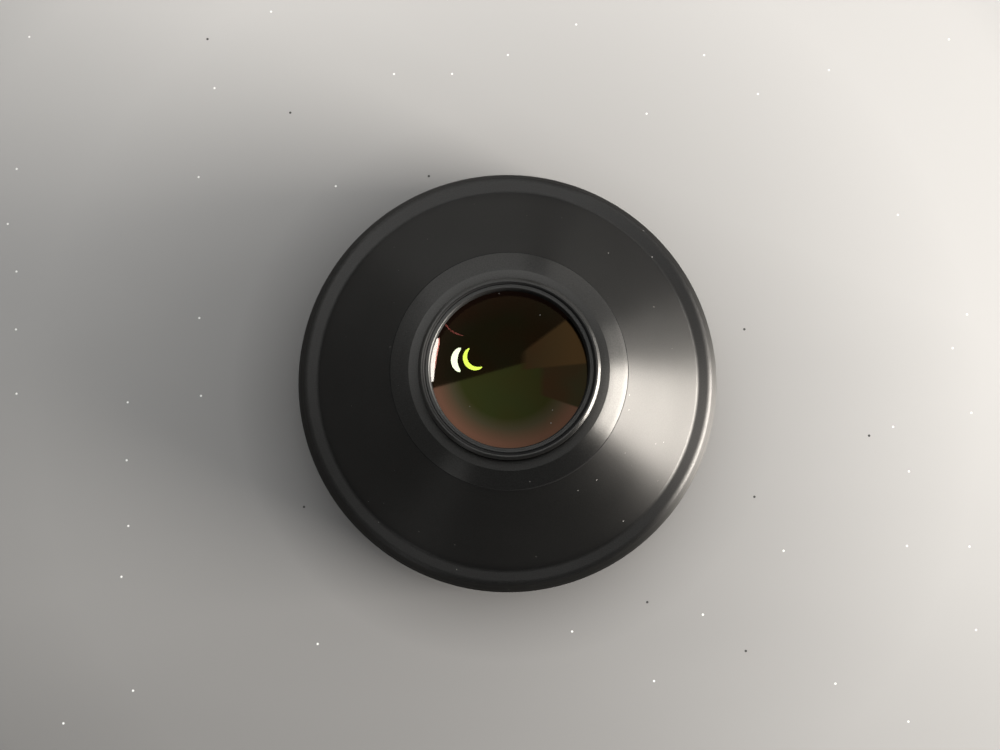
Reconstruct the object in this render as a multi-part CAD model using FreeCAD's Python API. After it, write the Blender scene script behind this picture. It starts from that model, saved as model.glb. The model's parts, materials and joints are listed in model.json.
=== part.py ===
"""Wide-angle conversion lens: threaded rear boss, coned barrel, four glasses in three groups.

Millimetres. The axis is +Z, from the front rim, on which the lens stands, to the threaded boss.
The origin is the centre of the front rim's face.
"""
import math
import os

import FreeCAD
import Part

# Overall form of the barrel
rim_radius = 40.5
rim_land_top = 8.5
band_height = 14.5
band_width = 1.8
band_inset = 3.4
rim_round = 1.4
seam_height = 36.5
seam_chamfer = 0.12

# Rear mount: short cone, shoulder and threaded boss
seam_gap = 0.05
flange_edge = 0.3
flange_thickness = 2.0
short_cone_width = 3.2
shoulder_width = 1.8
boss_radius = 14.0
boss_length = 3.5
boss_wall = 1.05
boss_chamfer = 0.45
relief_width = 0.6
relief_depth = 0.4
relief_face_width = 0.3
relief_face_depth = 0.15
boss_mouth_chamfer = 0.25
boss_floor = 1.2
spigot_wall = 1.25
spigot_length = 4.9

# Front filter ring
rim_wall = 2.0
filter_thread_length = 3.2
filter_step_length = 0.4
filter_ring_length = 5.0
filter_spigot_wall = 1.9
filter_spigot_length = 2.6
lip_wall = 1.3
rim_edge_round = 0.8
mouth_chamfer = 0.3

# Grub screws that lock the filter ring
screw_count = 3
first_screw_turn = 90
screw_radius = 0.8
screw_sink = 0.25
screw_bite = 0.9
screw_slot_width = 0.35
screw_slot_depth = 0.4

# Front glass, convex to the front, and what holds it
front_web = 1.6
front_outer_curve = 112.0
front_inner_curve = 58.0
front_centre_thickness = 2.4
front_lens_land = 9.3
front_edge_bevel = 0.4
seal_section = 0.9
ring_step = 0.3
ring_thickness = 1.9
ring_reach = 1.8
ring_touch = 1.0
ring_face_inset = 0.35
ring_lip = 0.35
spanner_notch_width = 2.0
spanner_notch_depth = 1.1
shim_thickness = 0.2
front_shim_width = 2.6
stop_plate_thickness = 0.3
front_stop_width = 8.6

# Second glass and what holds it
second_lens_radius = 24.5
second_lens_inset = 0.1
second_outer_curve = 150.0
second_inner_curve = 43.0
second_centre_thickness = 1.9
second_lens_land = 1.8
second_ring_step = 1.4
second_ring_reach = 1.7
second_ring_touch = 0.9
second_ledge_width = 1.6

# Inside of the barrel behind the second glass
throat_length = 1.7
middle_bore = 21.5
middle_bore_length = 3.7
middle_ledge_width = 1.2
middle_stop_width = 5.0
middle_stop_thickness = 0.4
middle_ring_height = 1.4
web_thickness = 2.9

# Ring nut on the mount ring
nut_width = 2.5
nut_thickness = 1.65
nut_side_gap = 0.25
nut_chamber_length = 2.0
nut_notch_count = 4
nut_notch_width = 1.6
nut_notch_depth = 0.8

# Seal at the mount ring's root
root_seal_section = 0.66
root_chamfer = 1.15

# Rear pair and its cell
pair_side_gap = 0.35
pair_seat_width = 0.7
pair_front_curve = 140.0
flint_edge = 3.2
cement_curve = 34.0
crown_edge = 2.8
pair_back_curve = 62.0
cell_wall = 2.0
cell_lip = 2.0
cell_ledge_land = 0.3
cell_flare = 1.5
cell_notch_width = 1.4
cell_notch_depth = 0.8

# Ring round the rear glass
rear_ring_reach = 0.35
rear_ring_height = 2.5
rear_ring_sink = 0.2
rear_ring_bevel = 0.12

# Clearances, radial or along the axis
thread_clearance = 0.05
glass_clearance = 0.05
bore_clearance = 0.1
seat_clearance = 0.02
cement_thickness = 0.01

UP = FreeCAD.Vector(0, 0, 1)
CENTRE = FreeCAD.Vector(0, 0, 0)


def at(radius, height):
    """A point of an outline, which is drawn in the XZ plane."""
    return FreeCAD.Vector(radius, 0, height)


def turned(start, *steps):
    """Turn an outline about the axis: a step of two numbers is a line, one of four is an arc."""
    edges = []
    here = at(*start)
    for step in steps + (start,):
        there = at(*step[-2:])
        if len(step) == 4:
            edges.append(Part.Arc(here, at(*step[:2]), there).toShape())
        elif here.distanceToPoint(there) > 1e-6:
            edges.append(Part.LineSegment(here, there).toShape())
        here = there
    solid = Part.Face(Part.Wire(edges)).revolve(CENTRE, UP, 360)
    if solid.Volume < 0:
        solid.reverse()
    return solid


def flat_ring(inner, outer, bottom, top):
    """A plain ring of rectangular section."""
    return turned((inner, bottom), (outer, bottom), (outer, top), (inner, top))


def seal_ring(section, centre_radius, centre_height):
    """A ring of round section."""
    return Part.makeTorus(centre_radius, section / 2, at(0, centre_height), UP)


def sag(curve, radius):
    """How far a sphere's surface has come away from its vertex plane at a radius."""
    return curve - math.sqrt(curve ** 2 - radius ** 2)


def seat_height(vertex, curve, touch_radius, radius):
    """The height at a radius of the cone that just clears a convex glass, nearest at touch_radius."""
    slope = touch_radius / math.sqrt(curve ** 2 - touch_radius ** 2)
    return vertex + sag(curve, touch_radius) - seat_clearance + slope * (radius - touch_radius)


def front_seat(radius):
    """The seat that the retaining ring has on the front glass."""
    return seat_height(front_vertex_height, front_outer_curve, front_lens_radius - ring_touch, radius)


def second_seat(radius):
    """The seat that the threaded ring has on the second glass."""
    touch_radius = second_lens_radius - second_ring_touch
    return seat_height(second_vertex_height, second_outer_curve, touch_radius, radius)


def dome(vertex, curve, radius, side):
    """The arc step from the axis to a radius: side is 1 where it climbs, -1 where it falls."""
    middle = radius / 2
    return (middle, vertex + side * sag(curve, middle), radius, vertex + side * sag(curve, radius))


def dome_back(vertex, curve, radius, side):
    """The same arc from the radius to the axis."""
    middle = radius / 2
    return (middle, vertex + side * sag(curve, middle), 0, vertex)


def notches(solid, count, width, inner, outer, bottom, top):
    """Cut equal spanner notches, evenly spaced, between two radii and two heights."""
    for index in range(count):
        block = Part.makeBox(outer - inner, width, top - bottom, FreeCAD.Vector(inner, -width / 2, bottom))
        block.rotate(CENTRE, UP, 360 / count * index)
        solid = solid.cut(block)
    return solid


def tangent_point(centre, radius, outside):
    """Where a line from an outside point touches a circle, on the side away from the axis."""
    run = centre[0] - outside[0]
    rise = centre[1] - outside[1]
    distance = math.hypot(run, rise)
    length = math.sqrt(distance ** 2 - radius ** 2)
    turn = math.atan2(rise, run) - math.asin(radius / distance)
    return outside[0] + length * math.cos(turn), outside[1] + length * math.sin(turn)


def arc_middle(centre, radius, start, end):
    """The middle of the shorter arc between two points on a circle."""
    run = (start[0] + end[0]) / 2 - centre[0]
    rise = (start[1] + end[1]) / 2 - centre[1]
    scale = radius / math.hypot(run, rise)
    return centre[0] + run * scale, centre[1] + rise * scale


# Radii that follow, from the rim inwards
band_outer_radius = rim_radius - band_inset
band_inner_radius = band_outer_radius - band_width
filter_bore = rim_radius - rim_wall
filter_spigot_radius = rim_radius - lip_wall
filter_inner_radius = filter_spigot_radius - filter_spigot_wall
ring_bore = filter_inner_radius - ring_step
front_lens_radius = ring_bore - seal_section - bore_clearance
front_bowl_radius = front_lens_radius - front_lens_land

# Radii that follow from the second glass
second_bowl_radius = second_lens_radius - second_lens_land
second_pocket_radius = second_lens_radius + bore_clearance
second_ring_bore = second_pocket_radius + second_ring_step
second_ledge_radius = second_lens_radius - second_ledge_width
middle_ledge_radius = middle_bore - middle_ledge_width

# Radii that follow from the boss
shoulder_radius = boss_radius + shoulder_width
seam_radius = shoulder_radius + short_cone_width
boss_bore = boss_radius - boss_wall
pair_radius = boss_bore - pair_side_gap
pair_seat_radius = pair_radius - pair_seat_width
rear_ring_inner_radius = pair_radius - rear_ring_reach
cell_radius = pair_radius + glass_clearance + cell_wall
cell_bore = cell_radius + thread_clearance
spigot_radius = cell_bore + spigot_wall
nut_radius = spigot_radius + nut_width
nut_chamber_radius = nut_radius + nut_side_gap

# Heights that follow, in the front group
front_ledge = band_height - front_web
front_lens_back = front_ledge - stop_plate_thickness - shim_thickness
front_back_vertex = front_lens_back - sag(front_inner_curve, front_bowl_radius)
front_vertex_height = front_back_vertex - front_centre_thickness
ring_back = front_seat(front_lens_radius)
ring_front = ring_back - ring_thickness
seal_ledge = ring_back + seal_section
socket_depth = filter_ring_length + filter_spigot_length + thread_clearance
screw_height = filter_ring_length + filter_spigot_length / 2

# Heights that follow, in the cone
second_vertex_height = front_ledge + second_lens_inset
second_back_vertex = second_vertex_height + second_centre_thickness
second_lens_back = second_back_vertex + sag(second_inner_curve, second_bowl_radius)
second_ring_back = second_seat(second_pocket_radius)
second_ledge = second_lens_back + shim_thickness
throat_top = second_ledge + throat_length
middle_ledge_height = throat_top + middle_bore_length

# Heights that follow, in the rear mount
web_front = seam_height - web_thickness
spigot_front = seam_height - spigot_length
shoulder_height = seam_height + flange_thickness
overall_length = shoulder_height + boss_length
cell_ledge = shoulder_height - boss_floor
cell_back = cell_ledge - shim_thickness
rear_ring_top = overall_length - rear_ring_sink
rear_ring_bottom = rear_ring_top - rear_ring_height
pair_back_vertex = rear_ring_bottom - seat_clearance + sag(pair_back_curve, rear_ring_inner_radius)
pair_back_edge = pair_back_vertex - sag(pair_back_curve, pair_radius)
cement_edge_height = pair_back_edge - crown_edge
cement_vertex = cement_edge_height - sag(cement_curve, pair_radius)
pair_seat_height = cement_edge_height - flint_edge
pair_front_vertex = pair_seat_height - sag(pair_front_curve, pair_seat_radius)
cell_front = pair_seat_height - cell_lip


def main_barrel():
    round_centre = (band_outer_radius, band_height - rim_round)
    round_start = tangent_point(round_centre, rim_round, (rim_radius, rim_land_top))
    round_end = (band_outer_radius, band_height)
    socket_radius = filter_spigot_radius + thread_clearance
    spigot_bore = spigot_radius + thread_clearance
    solid = turned(
        (socket_radius, filter_ring_length),
        (rim_radius - seam_chamfer, filter_ring_length),
        (rim_radius, filter_ring_length + seam_chamfer),
        (rim_radius, rim_land_top),
        round_start,
        arc_middle(round_centre, rim_round, round_start, round_end) + round_end,
        (band_inner_radius, band_height),
        (seam_radius, seam_height - seam_chamfer),
        (seam_radius - seam_chamfer, seam_height),
        (spigot_bore + root_chamfer, seam_height),
        (spigot_bore, seam_height - root_chamfer),
        (spigot_bore, web_front),
        (nut_chamber_radius, web_front),
        (nut_chamber_radius, web_front - nut_chamber_length),
        (middle_ledge_radius, middle_ledge_height),
        (middle_bore, middle_ledge_height),
        (middle_bore, throat_top),
        (second_ledge_radius, throat_top),
        (second_ledge_radius, second_ledge),
        (second_pocket_radius, second_ledge),
        (second_pocket_radius, second_ring_back + bore_clearance),
        (second_ring_bore, second_ring_back + bore_clearance),
        (second_ring_bore, front_ledge),
        (front_lens_radius + bore_clearance, front_ledge),
        (front_lens_radius + bore_clearance, seal_ledge),
        (ring_bore, seal_ledge),
        (ring_bore, socket_depth),
        (socket_radius, socket_depth),
    )
    return solid.cut(screw_holes())


def radial_rods(radius, inner, outer):
    """Rods that point away from the axis at the grub screws' places."""
    rods = []
    for index in range(screw_count):
        rod = Part.makeCylinder(radius, outer - inner, at(inner, screw_height), FreeCAD.Vector(1, 0, 0))
        rod.rotate(CENTRE, UP, first_screw_turn + 360 / screw_count * index)
        rods.append(rod)
    return Part.makeCompound(rods)


def screw_holes():
    """Holes for the grub screws, which run out through the barrel's wall."""
    bottom = filter_spigot_radius - screw_bite - seat_clearance
    return radial_rods(screw_radius + thread_clearance, bottom, rim_radius + screw_radius)


def filter_ring_screws():
    inner = filter_spigot_radius - screw_bite
    outer = rim_radius - screw_sink
    rods = radial_rods(screw_radius, inner, outer)
    slots = []
    for index in range(screw_count):
        slot = Part.makeBox(2 * screw_slot_depth, screw_slot_width, 4 * screw_radius)
        slot.translate(FreeCAD.Vector(outer - screw_slot_depth, -screw_slot_width / 2,
                                      screw_height - 2 * screw_radius))
        slot.rotate(CENTRE, UP, first_screw_turn + 360 / screw_count * index)
        slots.append(slot)
    return rods.cut(Part.makeCompound(slots))


def front_filter_ring():
    edge = rim_edge_round * (1 - math.sqrt(0.5))
    solid = turned(
        (filter_bore + mouth_chamfer, 0),
        (rim_radius - rim_edge_round, 0),
        (rim_radius - edge, edge, rim_radius, rim_edge_round),
        (rim_radius, filter_ring_length - thread_clearance - seam_chamfer),
        (rim_radius - seam_chamfer, filter_ring_length - thread_clearance),
        (filter_spigot_radius, filter_ring_length - thread_clearance),
        (filter_spigot_radius, filter_ring_length + filter_spigot_length),
        (filter_inner_radius, filter_ring_length + filter_spigot_length),
        (filter_inner_radius, filter_thread_length + filter_step_length),
        (filter_bore, filter_thread_length),
        (filter_bore, mouth_chamfer),
    )
    return solid.cut(screw_holes())


def front_retaining_ring():
    inner = front_lens_radius - ring_reach
    outer = ring_bore - thread_clearance
    face_radius = outer - ring_face_inset
    solid = turned(
        (inner, front_seat(inner) - ring_lip),
        (face_radius, ring_front),
        (outer, ring_front),
        (outer, ring_back),
        (front_lens_radius, ring_back),
        (inner, front_seat(inner)),
    )
    return notches(solid, 2, spanner_notch_width, face_radius - spanner_notch_depth,
                   ring_bore, 0, ring_front + spanner_notch_depth)


def front_lens_seal():
    return seal_ring(seal_section - 2 * seat_clearance, (front_lens_radius + ring_bore) / 2,
                     seal_ledge - seal_section / 2)


def front_lens():
    return turned(
        (0, front_vertex_height),
        dome(front_vertex_height, front_outer_curve, front_lens_radius, 1),
        (front_lens_radius, front_lens_back - front_edge_bevel),
        (front_lens_radius - front_edge_bevel, front_lens_back),
        (front_bowl_radius, front_lens_back),
        dome_back(front_back_vertex, front_inner_curve, front_bowl_radius, 1),
    )


def front_lens_shim():
    return flat_ring(front_lens_radius - front_shim_width, front_lens_radius,
                     front_lens_back, front_lens_back + shim_thickness)


def front_stop_plate():
    return flat_ring(front_lens_radius - front_stop_width, front_lens_radius,
                     front_ledge - stop_plate_thickness, front_ledge)


def second_lens_ring():
    inner = second_lens_radius - second_ring_reach
    outer = second_ring_bore - thread_clearance
    solid = turned(
        (inner, front_ledge),
        (outer, front_ledge),
        (outer, second_ring_back),
        (second_pocket_radius, second_ring_back),
        (inner, second_seat(inner)),
    )
    return notches(solid, 2, spanner_notch_width, outer - spanner_notch_depth, second_ring_bore,
                   0, front_ledge + spanner_notch_depth)


def second_lens():
    return turned(
        (0, second_vertex_height),
        dome(second_vertex_height, second_outer_curve, second_lens_radius, 1),
        (second_lens_radius, second_lens_back),
        (second_bowl_radius, second_lens_back),
        dome_back(second_back_vertex, second_inner_curve, second_bowl_radius, 1),
    )


def second_lens_shim():
    return flat_ring(second_ledge_radius, second_lens_radius, second_lens_back, second_ledge)


def middle_stop_plate():
    return flat_ring(middle_ledge_radius - middle_stop_width, middle_bore - bore_clearance,
                     middle_ledge_height - middle_stop_thickness, middle_ledge_height)


def middle_stop_ring():
    top = middle_ledge_height - middle_stop_thickness
    solid = flat_ring(middle_ledge_radius, middle_bore - thread_clearance, top - middle_ring_height, top)
    return notches(solid, 2, nut_notch_width, 0, middle_bore, 0, top - middle_ring_height + nut_notch_depth)


def mount_ring():
    flange_back = seam_height + seam_gap
    relief_radius = boss_radius - relief_depth
    return turned(
        (spigot_radius, spigot_front),
        (spigot_radius, flange_back),
        (seam_radius - seam_chamfer, flange_back),
        (seam_radius, flange_back + seam_chamfer),
        (seam_radius, flange_back + flange_edge),
        (shoulder_radius, shoulder_height),
        (boss_radius + relief_face_width, shoulder_height),
        (boss_radius, shoulder_height - relief_face_depth),
        (relief_radius, shoulder_height - relief_face_depth),
        (relief_radius, shoulder_height + relief_width),
        (boss_radius, shoulder_height + relief_width),
        (boss_radius, overall_length - boss_chamfer),
        (boss_radius - boss_chamfer, overall_length),
        (boss_bore + boss_mouth_chamfer, overall_length),
        (boss_bore, overall_length - boss_mouth_chamfer),
        (boss_bore, cell_ledge),
        (cell_bore, cell_ledge),
        (cell_bore, spigot_front),
    )


def mount_ring_seal():
    offset = root_seal_section / 2 + seat_clearance
    return seal_ring(root_seal_section, spigot_radius + offset, seam_height - offset)


def mount_lock_ring():
    top = web_front - seat_clearance
    solid = flat_ring(spigot_radius + thread_clearance, nut_radius, top - nut_thickness, top)
    return notches(solid, nut_notch_count, nut_notch_width, nut_radius - nut_notch_depth,
                   nut_chamber_radius, 0, top - nut_thickness / 2)


def cell_shim():
    return flat_ring(pair_radius + bore_clearance, cell_bore - bore_clearance, cell_back, cell_ledge)


def rear_lens_cell():
    solid = turned(
        (pair_seat_radius + cell_flare, cell_front),
        (cell_radius, cell_front),
        (cell_radius, cell_back),
        (pair_radius + glass_clearance, cell_back),
        (pair_radius + glass_clearance, pair_seat_height),
        (pair_seat_radius + glass_clearance, pair_seat_height),
        (pair_seat_radius + glass_clearance, pair_seat_height - cell_ledge_land),
    )
    return notches(solid, 2, cell_notch_width, 0, cell_bore, 0, cell_front + cell_notch_depth)


def rear_flint_lens():
    return turned(
        (0, pair_front_vertex),
        dome(pair_front_vertex, pair_front_curve, pair_seat_radius, 1),
        (pair_radius, pair_seat_height),
        (pair_radius, cement_edge_height),
        dome_back(cement_vertex, cement_curve, pair_radius, 1),
    )


def rear_crown_lens():
    front_vertex = cement_vertex + cement_thickness
    return turned(
        (0, front_vertex),
        dome(front_vertex, cement_curve, pair_radius, 1),
        (pair_radius, pair_back_edge),
        dome_back(pair_back_vertex, pair_back_curve, pair_radius, -1),
    )


def rear_retaining_ring():
    outer = boss_bore - thread_clearance
    return turned(
        (rear_ring_inner_radius, rear_ring_bottom),
        (outer, rear_ring_bottom),
        (outer, rear_ring_top),
        (rear_ring_inner_radius + rear_ring_bevel, rear_ring_top),
        (rear_ring_inner_radius, rear_ring_top - rear_ring_bevel),
    )


PIECES = (
    main_barrel,
    front_filter_ring,
    filter_ring_screws,
    front_retaining_ring,
    front_lens_seal,
    front_lens,
    front_lens_shim,
    front_stop_plate,
    second_lens_ring,
    second_lens,
    second_lens_shim,
    middle_stop_plate,
    middle_stop_ring,
    mount_ring,
    mount_ring_seal,
    mount_lock_ring,
    cell_shim,
    rear_lens_cell,
    rear_flint_lens,
    rear_crown_lens,
    rear_retaining_ring,
)

os.makedirs("parts", exist_ok=True)
for piece in PIECES:
    shape = piece()
    shape.exportStep(os.path.join("parts", piece.__name__ + ".step"))
    print(f"{piece.__name__}: {len(shape.Solids)} solid, {shape.Volume:.1f} mm3, valid {shape.isValid()}")
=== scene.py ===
"""Finish and stage of the wide-angle conversion lens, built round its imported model."""
import json
import math
from typing import NamedTuple

import bmesh
import bpy
from bpy.props import FloatProperty, FloatVectorProperty, IntProperty, PointerProperty
from mathutils import Euler, Matrix, Vector


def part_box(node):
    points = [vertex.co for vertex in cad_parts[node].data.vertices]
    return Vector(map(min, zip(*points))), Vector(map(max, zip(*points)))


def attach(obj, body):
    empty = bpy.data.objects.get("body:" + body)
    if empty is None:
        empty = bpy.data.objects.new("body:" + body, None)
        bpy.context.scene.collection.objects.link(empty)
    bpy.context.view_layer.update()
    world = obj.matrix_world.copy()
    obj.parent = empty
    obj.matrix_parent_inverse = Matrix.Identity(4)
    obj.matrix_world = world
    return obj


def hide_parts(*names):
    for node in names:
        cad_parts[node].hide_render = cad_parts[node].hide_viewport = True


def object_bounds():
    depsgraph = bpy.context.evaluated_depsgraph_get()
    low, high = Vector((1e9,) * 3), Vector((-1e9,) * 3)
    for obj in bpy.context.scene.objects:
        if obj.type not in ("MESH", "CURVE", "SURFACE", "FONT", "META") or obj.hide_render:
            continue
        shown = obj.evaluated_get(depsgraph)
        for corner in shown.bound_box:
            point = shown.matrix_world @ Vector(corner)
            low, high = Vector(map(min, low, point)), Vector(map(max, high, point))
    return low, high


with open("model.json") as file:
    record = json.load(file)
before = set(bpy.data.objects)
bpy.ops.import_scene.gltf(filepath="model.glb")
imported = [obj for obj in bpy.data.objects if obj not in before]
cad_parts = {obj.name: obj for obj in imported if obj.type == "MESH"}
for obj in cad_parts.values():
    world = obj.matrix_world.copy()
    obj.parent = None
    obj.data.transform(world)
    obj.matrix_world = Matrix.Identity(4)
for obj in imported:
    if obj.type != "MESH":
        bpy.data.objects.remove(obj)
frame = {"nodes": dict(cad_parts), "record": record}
CAD_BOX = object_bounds()

bl_info = {
    "name": "Wide-angle conversion lens",
    "version": (1, 0, 0),
    "blender": (4, 5, 0),
    "location": "View3D > Sidebar > Conversion lens",
    "description": "Builds the finished pieces of a wide-angle conversion lens and its studio",
    "category": "Object",
}

ROOT = "root"
MM = 0.001
MOUNTS = {mount["name"]: mount for mount in frame["record"]["mounts"]}

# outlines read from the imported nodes
SAME_POINT = 2e-6  # points nearer than this are one
ROUNDING = 6  # decimals kept of a place
CORNER = math.radians(25)  # the least turn that counts as a corner
SLANTED = math.radians(70)  # the most that the foot of the barrel's cone turns

# turned pieces
DOME_RINGS = 40  # rings of faces in a glass's dome
ARC_STEP = math.radians(22)  # turn between two points of a broken edge
FOOT_STEP = math.radians(5)  # turn between two points of the cone's rounded foot
ROUND_ROOM = 0.35  # share of its shorter side that a corner's round may take
SHARP = math.radians(40)  # the least turn of an edge that shades sharp

# grub screws and threads
SCREW_COUNT = 3
FIRST_SCREW = math.radians(90)
SCREW_SEGMENTS = 48
HOLE_CLEARANCE = 0.05 * MM
THREAD_SEGMENTS = 120  # segments in one turn of a thread
ROOT_SHARE = 0.86  # share of the pitch that a ridge takes at its root
FADE_SHARE = 0.08  # share of a thread's length over which its ridge grows at each end

# surfaces
EDGE_TINT = (0.315, 0.315, 0.315)  # what the black metals keep of the usual slanting reflection
GROOVE_PITCH = 0.36 * MM  # of the fine grooves round the mouth
GROOVED_RADIUS = 13.95 * MM  # the grooves end here
GHOST_ROUGHNESS = 0.12  # of the reflections inside the rear glass
HOLLOW_CURVE = 60 * MM  # radius of the hollow face behind the rear glass
HOLLOW_RISE = 1 * MM  # how far that face's middle lies off the axis
CEILING_LIFT = math.radians(12)  # the painted ceiling reflection mirrors a place so far above the ceiling lamp

# painted reflections: where the window shows inside the rear glass, as arcs masked on the glass: each arc's
# middle, radius and half width in millimetres, the middle and half of its sweep in degrees, and its colour
WINDOW_ARCS = (
    ((-6.37, 1.37, 2.18, 0.5, 179, 57), "glint_cool"),
    ((-5.09, 1.8, 1.77, 0.36, 214, 86), "glint_lime"),
    ((0.0, 0.0, 11.95, 0.55, 170, 14), "glint_blush"),
    ((0.0, 0.0, 12.15, 0.6, 173, 16.5), "glint_pale"),
    ((-6.73, 8.97, 3.77, 0.14, 228, 36), "glint_rose"),
)

# lines that bound the painted reflection of the ceiling lamp on the rear glass: the parts of x and y, the
# offset and the soft edge's width, in millimetres
CEILING_REFLECTION_LINES = {
    "upper": (-0.11, 1.0, 0.4, 0.35),
    "under_ray": (0.76, -1.0, 1.0, 0.6),
    "past_middle": (1.0, 0.0, -2.2, 1.2),
    "near_edge": (1.0, 0.0, -5.0, 1.0),
    "over_low_ray": (0.33, 1.0, 2.45, 0.3),
}

# the room
FLOOR_REACH = 4.0  # half the floor's side, in metres
WALL_TOP = 0.05  # sine of the elevation at which the backdrop starts to pass into the ceiling
CEILING_BLEND = 0.35  # and how much more it takes
SENSOR_WIDTH = 36.0  # of the camera, in millimetres


class Turning(NamedTuple):
    """The surface of a black turned metal; its sizes are in millimetres."""

    roughness: float
    anisotropy: float
    mark_width: float
    mark_depth: float
    grain_size: float
    grain_depth: float
    groove_depth: float = 0.0
    dull_inside: float = 0.0
    dull_outside: float = 1000.0


SATIN = Turning(0.43, 0.82, mark_width=0.10, mark_depth=0.0003, grain_size=0.22, grain_depth=0.0035)
BLASTED = Turning(0.36, 0.85, mark_width=0.30, mark_depth=0.0002, grain_size=0.22, grain_depth=0.006,
                  groove_depth=0.03, dull_inside=13.3, dull_outside=18.87)
FINE = Turning(0.50, 0.50, mark_width=0.06, mark_depth=0.0008, grain_size=0.10, grain_depth=0.0004,
               groove_depth=0.04)


class Lamp(NamedTuple):
    """A rectangular lamp that faces the lens, in radians, metres and watts."""

    azimuth: float
    elevation: float
    distance: float
    width: float
    height: float
    power: float
    colour: tuple = (1.0, 1.0, 1.0)

    def direction(self, lift=0.0):
        """Where the lamp stands, seen from the lens, or an angle above it."""
        rise = self.elevation + lift
        flat = math.cos(rise)
        return Vector((math.cos(self.azimuth) * flat, math.sin(self.azimuth) * flat, math.sin(rise)))

    def half_way(self, lift=0.0):
        """The direction half way between straight up and the lamp."""
        return (self.direction(lift) + Vector((0, 0, 1))).normalized()


def length(name, description, millimetres):
    """A length property, written in millimetres."""
    return FloatProperty(name=name, description=description, default=millimetres * MM,
                         subtype="DISTANCE", unit="LENGTH", precision=5)


def paint(name, description, red, green, blue):
    """A colour property."""
    return FloatVectorProperty(name=name, description=description, size=3, subtype="COLOR",
                               default=(red, green, blue), min=0, max=1)


def angle(name, description, degrees):
    """An angle property, written in degrees."""
    return FloatProperty(name=name, description=description, default=math.radians(degrees),
                         subtype="ANGLE", unit="ROTATION")


def share_of(name, description, value):
    """A property between nought and one."""
    return FloatProperty(name=name, description=description, default=value, min=0, max=1, subtype="FACTOR")


class LensForm(bpy.types.PropertyGroup):
    """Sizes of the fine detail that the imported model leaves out."""

    segments: IntProperty(
        name="Turned segments", description="Flat faces round a turned piece", default=288, min=48)
    edge_round: length("Edge round", "Radius of the broken edges", 0.06)
    foot_round: length("Foot round", "Radius of the hollow corner at the foot of the barrel's cone", 1.0)
    thread_pitch: length("Thread pitch", "Pitch of the boss's and the front ring's threads", 0.75)
    thread_depth: length("Thread depth", "Height of a thread's ridge above its root", 0.40)
    crest_width: length("Thread crest", "Flat width at the top of a thread's ridge", 0.12)
    hole_flare: length("Hole flare", "Broken edge at the mouth of a screw hole", 0.12)
    slot_width: length("Screw slot width", "Width of a grub screw's slot", 0.35)
    slot_depth: length("Screw slot depth", "Depth of a grub screw's slot", 0.45)


class LensFinish(bpy.types.PropertyGroup):
    """Colours of the finishes."""

    anodised: paint("Anodised black", "Satin black of the barrel", 0.062, 0.061, 0.059)
    blasted: paint("Blasted black", "Bead-blasted black of the mount ring", 0.074, 0.073, 0.070)
    ring: paint("Ring black", "Black of the threaded rings", 0.068, 0.068, 0.066)
    stop: paint("Stop black", "Dead black of the stops and shims", 0.008, 0.008, 0.008)
    rubber: paint("Rubber", "Black of the seals", 0.016, 0.016, 0.016)
    brass: paint("Brass", "Brass of the cell's shim", 0.62, 0.45, 0.20)
    steel: paint("Screw steel", "Blackened steel of the grub screws", 0.05, 0.05, 0.05)
    dust: paint("Dust", "Colour of the dust specks", 0.30, 0.295, 0.28)
    front_coating: paint("Front coating", "Reflection of the front glass", 0.10, 0.30, 0.16)
    second_coating: paint("Second coating", "Reflection of the second glass", 0.28, 0.14, 0.24)
    flint_coating: paint("Flint", "Reflection of the rear pair's front half", 0.10, 0.10, 0.08)
    coating_middle: paint("Coating, middle", "Rear glass in the middle", 0.0185, 0.0235, 0.0057)
    coating_ring: paint("Coating, ring", "Rear glass part way out", 0.044, 0.037, 0.021)
    coating_edge: paint("Coating, edge", "Rear glass at the edge", 0.108, 0.052, 0.034)
    # painted reflections of the window: colours of the masked arcs, lit by the window lamp through a normal
    # aimed at it
    glint_cool: paint("Glint, cool", "Window in the first inner face", 0.030, 0.036, 0.0255)
    glint_lime: paint("Glint, lime", "Window in the second inner face", 0.021, 0.029, 0.0030)
    glint_pale: paint("Glint, pale", "Window at the glass's edge", 0.033, 0.0315, 0.0305)
    glint_blush: paint("Glint, blush", "Fringe of the window at the edge", 0.0176, 0.0063, 0.0052)
    glint_rose: paint("Glint, rose", "Window in the third inner face", 0.0029, 0.0005, 0.0004)
    # painted reflection of the ceiling lamp in the rear glass: tints of its base colour, the first one
    # painted on the window's side
    ceiling_reflection_near: paint("Haze, near", "Tint of the haze on the window's side", 0.023, 0.0132, 0.0052)
    ceiling_reflection_red: paint("Haze, red", "Redder tint of the haze elsewhere", 0.0130, 0.0066, 0.0030)
    ceiling_reflection_olive: paint("Haze, olive", "Greener tint of the haze elsewhere", 0.0100, 0.0088, 0.0042)


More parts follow.
